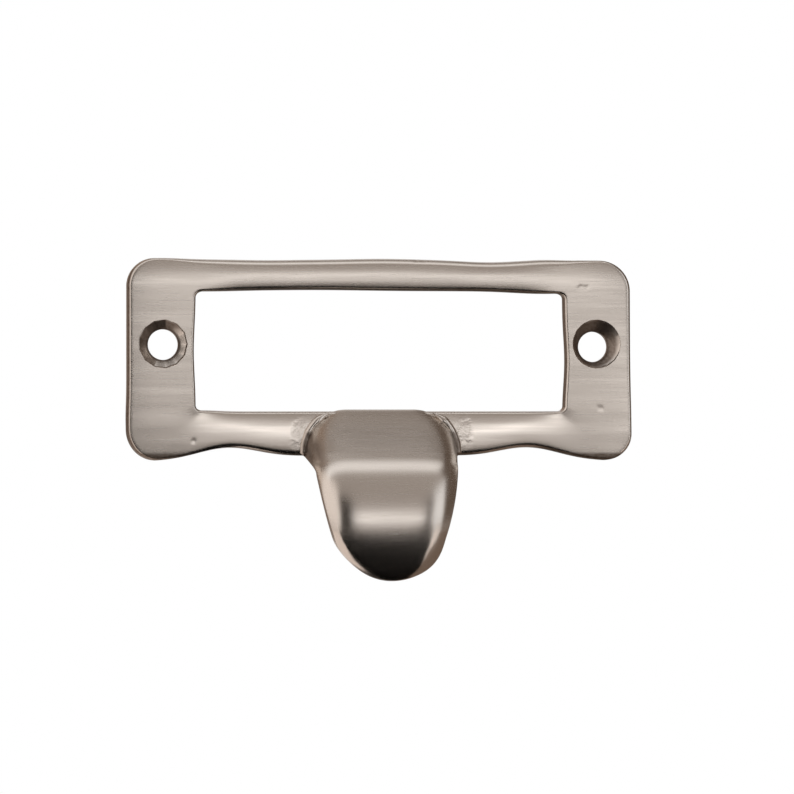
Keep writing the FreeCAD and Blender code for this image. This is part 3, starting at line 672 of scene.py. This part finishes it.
def paintCasting(piece, s):
    # u climbs the piece and v runs along it, with the depth mixed into both so that walls keep an area;
    # tarnish with painted shade, cast skin and polish are the largest of what their places give
    mesh = piece.data
    place = np.empty(len(mesh.vertices) * 3, np.float32)
    mesh.vertices.foreach_get("co", place)
    x, depth, z = place.reshape(-1, 3).T.astype(float) / millimetre * np.array([[1], [-1], [1]])
    corner = np.empty(len(mesh.loops), np.int32)
    mesh.loops.foreach_get("vertex_index", corner)
    depthU, depthV = s["uvDepth"]
    brushing = np.stack([z + depthU * depth, x + depthV * depth], axis=1) / s["uvSize"]
    layer = mesh.uv_layers.new(name="brushing")
    layer.uv.foreach_set("vector", brushing[corner].ravel().astype(np.float32))
    normal = np.empty(len(mesh.vertices) * 3, np.float32)
    mesh.vertices.foreach_get("normal", normal)
    left, front, below = -normal.reshape(-1, 3).T.astype(float)
    leftPart, belowPart = s["lowerLeft"]
    measures = {"x": x, "out": np.abs(x), "z": z, "depth": depth, "left": left, "front": front,
                "below": below, "lowerLeft": leftPart * left + belowPart * below}
    at, amount = sharesOf(s["places"], measures), s["amounts"]
    window = amount["window"] * at["window"] * (1 - at["tongueRoot"])
    tarnishAndShade = np.maximum(amount["back"] * at["back"], window)
    # painted shade on outer edges that face left and down
    shown = ease(depth + s["undersideReach"] * at["underside"], *s["edgeDepth"])
    edge = at["edge"] * (1 - at["opening"]) * np.maximum(shown, at["shadedLowEdge"])
    # holes: brown bores all round, countersinks by their own stain, and painted shade at the top of each
    # countersink
    for hole, stain in zip(holeShape["holes"], holeShape["stain"]):
        hx, hz, shiftX, shiftZ = hole[:4]
        edge = edge * ease(np.hypot(x - hx, z - hz), *s["holeClear"])
        measures["off"] = np.hypot(x - hx - shiftX, z - hz - shiftZ)
        measures["above"] = z - hz + s["holeLean"] * (hx - x)
        there = sharesOf(s["holePlaces"], measures)
        # the countersink's own stain, or painted shade towards its top, whichever is more
        cone = np.maximum(stain * there["cone"], amount["shadedUpperCone"] * there["shadedUpperCone"])
        brown = there["hole"] * np.maximum(cone, amount["bore"] * there["bore"])
        tarnishAndShade = np.maximum(tarnishAndShade, brown)
    tarnishAndShade = np.maximum(tarnishAndShade, edge)
    # tongue: painted shade on its walls beside the root, and thinly all along its left side
    beside = np.maximum(at["shadedRootFoot"], at["shadedRootWall"]) * at["shadeBesideRoot"]
    tarnishAndShade = np.maximum(tarnishAndShade, amount["shadeBesideRoot"] * np.maximum(beside, at["shoulder"]))
    # painted shade, thin, on the tongue's left-facing side
    tarnishAndShade = np.maximum(tarnishAndShade, amount["shadeAlongLeft"] * at["shadeAlongLeft"])
    polish = np.maximum(at["lowerRail"], amount["tongueFace"] * at["tongueFace"])
    cast = amount["tarnishSkin"] * tarnishAndShade
    for px, pz, halfX, halfZ in frameShape["castPatches"]:
        cast = np.maximum(cast, ease(np.hypot((x - px) / halfX, (z - pz) / halfZ), *s["skinFade"]))
    # the tarnish attribute holds real tarnish and painted shade together
    for name, values in (("tarnishAndShade", tarnishAndShade), ("castSkin", cast), ("polish", polish)):
        mesh.attributes.new(name, "FLOAT", "POINT").data.foreach_set("value", values.astype(np.float32))


paintCasting(casting, wear)
casting.data.materials.clear()
casting.data.materials.append(brushedNickel(nickelFinish))
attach(casting, "root")
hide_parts("label_frame_pull")
print("casting finished in brushed nickel")


# Camera, level with the middle of the piece and a little to its left

cameraPlace = {
    # degrees and millimetres: across is the width seen at the aim, aim is the way right and up to it
    "yaw": 7.0, "elevation": 0.0, "distance": 700.0, "across": 117.3, "aim": (2.72, -7.78),
    "sensor": 36.0, "clip": (10.0, 20000.0),
}


def placeCamera(s):
    # stands back from the aim by its distance; the lens is sensor width * distance / width seen
    yaw, rise = math.radians(s["yaw"]), math.radians(s["elevation"])
    towards = np.array([math.sin(yaw) * math.cos(rise), math.cos(yaw) * math.cos(rise), -math.sin(rise)])
    right = np.array([math.cos(yaw), -math.sin(yaw), 0])
    aim = right * s["aim"][0] + np.array([0, 0, s["aim"][1]])
    data = bpy.data.cameras.new("photoCamera")
    data.sensor_width = s["sensor"]
    data.lens = s["sensor"] * s["distance"] / s["across"]
    data.clip_start, data.clip_end = (limit * millimetre for limit in s["clip"])
    camera = bpy.data.objects.new("photoCamera", data)
    camera.location = (aim - towards * s["distance"]) * millimetre
    camera.rotation_euler = (math.pi / 2 - rise, 0, -yaw)
    scene.collection.objects.link(camera)
    scene.camera = camera


placeCamera(cameraPlace)


# Light tent: a sphere round the piece, with soft panels of light and shade on its inside

tentLight = {
    "radius": 2200.0, "sideSteps": 91, "arcSteps": 181,
    # light by the angle from the front horizon over the top to the back
    "arc": [(-90, 0.0), (-30, 0.0), (-20, 0.01), (-14, 0.04), (-9, 0.12), (-6, 0.24), (-3, 0.44),
            (0, 0.59), (3, 0.9), (5.5, 2.1), (9, 2.1), (12, 0.72), (17, 0.45), (24, 0.42), (56, 0.38),
            (64, 0.5), (72, 1.0), (76, 1.15), (86, 1.15), (92, 0.9), (100, 0.55), (108, 0.33),
            (124, 0.31), (138, 0.7), (150, 0.75), (180, 0.6)],
    # tints of dim and of bright cloth, and the light at which one goes over into the other
    "dimTint": (1.0, 0.85, 0.74), "brightTint": (1.0, 0.985, 0.98), "tintFrom": (0.05, 0.9),
    # first and last bearing from the front to the right, first and last height, softness, colour, light
    "panels": [
        (-190, -150, -60, 60, 8, "#FFE0C8", 0.3),
        (-150, -108, -60, 60, 8, "#FFE0C8", 0.3),
        (-108, -34, -60, 38, 9, "#FFF6F0", 1.0),
        (31, 60, -60, 35, 6, "#FCFDFF", 1.05),
        (60, 165, -60, 60, 6, "#FFE0C8", 0.13),
        (-31, -6, -30, 28, 6, "#FFE0C8", 0.02),
        (19, 29, -30, 28, 4, "#FFE0C8", 0.06),
    ],
}


def buildTent(s):
    # sphere: (side angle, arc angle) -> (sin side, -cos side cos arc, cos side sin arc);
    # its light comes from the arc, and then from the panels that lie over it
    rows, columns = s["sideSteps"], s["arcSteps"]
    side, arc = np.radians(np.linspace(-90, 90, rows)), np.radians(np.linspace(-90, 270, columns))
    side, arc = (angle.ravel() for angle in np.meshgrid(side, arc, indexing="ij"))
    towards = np.stack([np.sin(side), -np.cos(side) * np.cos(arc), np.cos(side) * np.sin(arc)], axis=1)
    at, level = np.array(s["arc"]).T
    glow = np.interp(np.degrees(arc), at, level)
    warm = ease(glow, *s["tintFrom"])[:, None]
    glow = glow[:, None] * (np.array(s["dimTint"]) * (1 - warm) + np.array(s["brightTint"]) * warm)
    bearing = np.degrees(np.arctan2(towards[:, 0], -towards[:, 1]))
    height = np.degrees(np.arcsin(np.clip(towards[:, 2], -1, 1)))
    for first, last, low, high, soft, colour, light in s["panels"]:
        cover = ease(bearing, first - soft, first + soft) * ease(bearing, last + soft, last - soft)
        cover = cover * ease(height, low - soft, low + soft) * ease(height, high + soft, high - soft)
        glow = glow * (1 - cover[:, None]) + cover[:, None] * light * np.array(linear(colour)[:3])
    points = towards * np.array([1, -1, 1]) * s["radius"]
    tent = meshPiece("lightTent", points, [gridFaces(rows, columns)], closed=False)
    layer = tent.data.color_attributes.new("glow", "FLOAT_COLOR", "POINT")
    layer.data.foreach_set("color", np.concatenate([glow, np.ones((len(glow), 1))], axis=1).ravel())
    tent.visible_camera = False
    material = bpy.data.materials.new("tentCloth")
    tree = emptyTree(material)
    paint = addNode(tree, "ShaderNodeAttribute", attribute_name="glow")
    light = addNode(tree, "ShaderNodeEmission", {"Color": paint.outputs["Color"], "Strength": 1.0})
    addNode(tree, "ShaderNodeOutputMaterial", {"Surface": light.outputs["Emission"]})
    tent.data.materials.append(material)


# Level cards of matt paint: name, colour, corners as x and y, height, whether the camera sees it, glow

stageCards = {
    "roughness": 0.9, "specular": 0.1,
    "cards": [
        # the floor, and above it the plain floor that reflections see
        ("paleFloor", "#F4F3F1", [(-900, -900), (900, -900), (900, 550), (-900, 550)], -120, True, 0.4),
        ("greyCard", "#F4F3F1", [(-900, -900), (900, -900), (900, 550), (-900, 550)], -118, False, 0.0),
        # light for the tongue's left rim, brown for its right half, a streak of light for its right rim
        ("leftGlow", "#FFF6F0", [(-260, -260), (-18, -260), (-18, 200), (-260, 200)], -80, False, 0.35),
        ("brownCard", "#A8988B", [(-20, -260), (300, -260), (300, 250), (-20, 250)], -78, False, 0.0),
        ("rightGlow", "#FFFAF6", [(18, -36), (190, -286), (285, -181), (40, -48)], -76, False, 0.5),
        # the dark in its tip, in front and behind
        ("blackFlag", "#050505", [(-370, -400), (240, -400), (10, 10), (-10, 10)], -75, False, 0.0),
        ("blackTail", "#050505", [(-18, 0), (18, 0), (18, 160), (-18, 160)], -75, False, 0.0),
    ],
}


def plainCard(s, name, colour, corners, z, shown, glow):
    # one flat face through the corners, at one height; hidden cards are seen in reflections only
    x, y = np.array(corners, float).T
    points = np.stack([x, -y, np.full(len(x), z)], axis=1)
    card = meshPiece(name, points, [np.arange(len(x))[None]], closed=False)
    material = bpy.data.materials.new(name + "Paint")
    tree = emptyTree(material)
    shader = addNode(tree, "ShaderNodeBsdfPrincipled", {
        "Base Color": linear(colour), "Roughness": s["roughness"], "Specular IOR Level": s["specular"],
        "Emission Color": linear(colour), "Emission Strength": glow})
    addNode(tree, "ShaderNodeOutputMaterial", {"Surface": shader.outputs["BSDF"]})
    card.data.materials.append(material)
    if not shown:
        card.visible_camera = card.visible_shadow = card.visible_diffuse = False


buildTent(tentLight)
for card in stageCards["cards"]:
    plainCard(stageCards, *card)

# World: white where it is seen, a pale fill where it only lights

worldLight = {"seen": "#FFFFFF", "seenStrength": 1.0, "fill": "#F4F2EE", "fillStrength": 0.6}
world = bpy.data.worlds.new("studio")
scene.world = world
tree = emptyTree(world)
path = addNode(tree, "ShaderNodeLightPath").outputs
seen = addNode(tree, "ShaderNodeMath", {
    0: path["Is Camera Ray"], 1: path["Is Glossy Ray"]}, operation="MAXIMUM")
seen = addNode(tree, "ShaderNodeMath", {
    0: seen.outputs[0], 1: path["Is Transmission Ray"]}, operation="MAXIMUM")
fill = addNode(tree, "ShaderNodeBackground", {
    "Color": linear(worldLight["fill"]), "Strength": worldLight["fillStrength"]})
white = addNode(tree, "ShaderNodeBackground", {
    "Color": linear(worldLight["seen"]), "Strength": worldLight["seenStrength"]})
both = addNode(tree, "ShaderNodeMixShader", {0: seen.outputs[0], 1: fill.outputs[0], 2: white.outputs[0]})
addNode(tree, "ShaderNodeOutputWorld", {"Surface": both.outputs[0]})
scene.view_settings.view_transform = "Standard"
print("camera, tent, floor and cards placed")
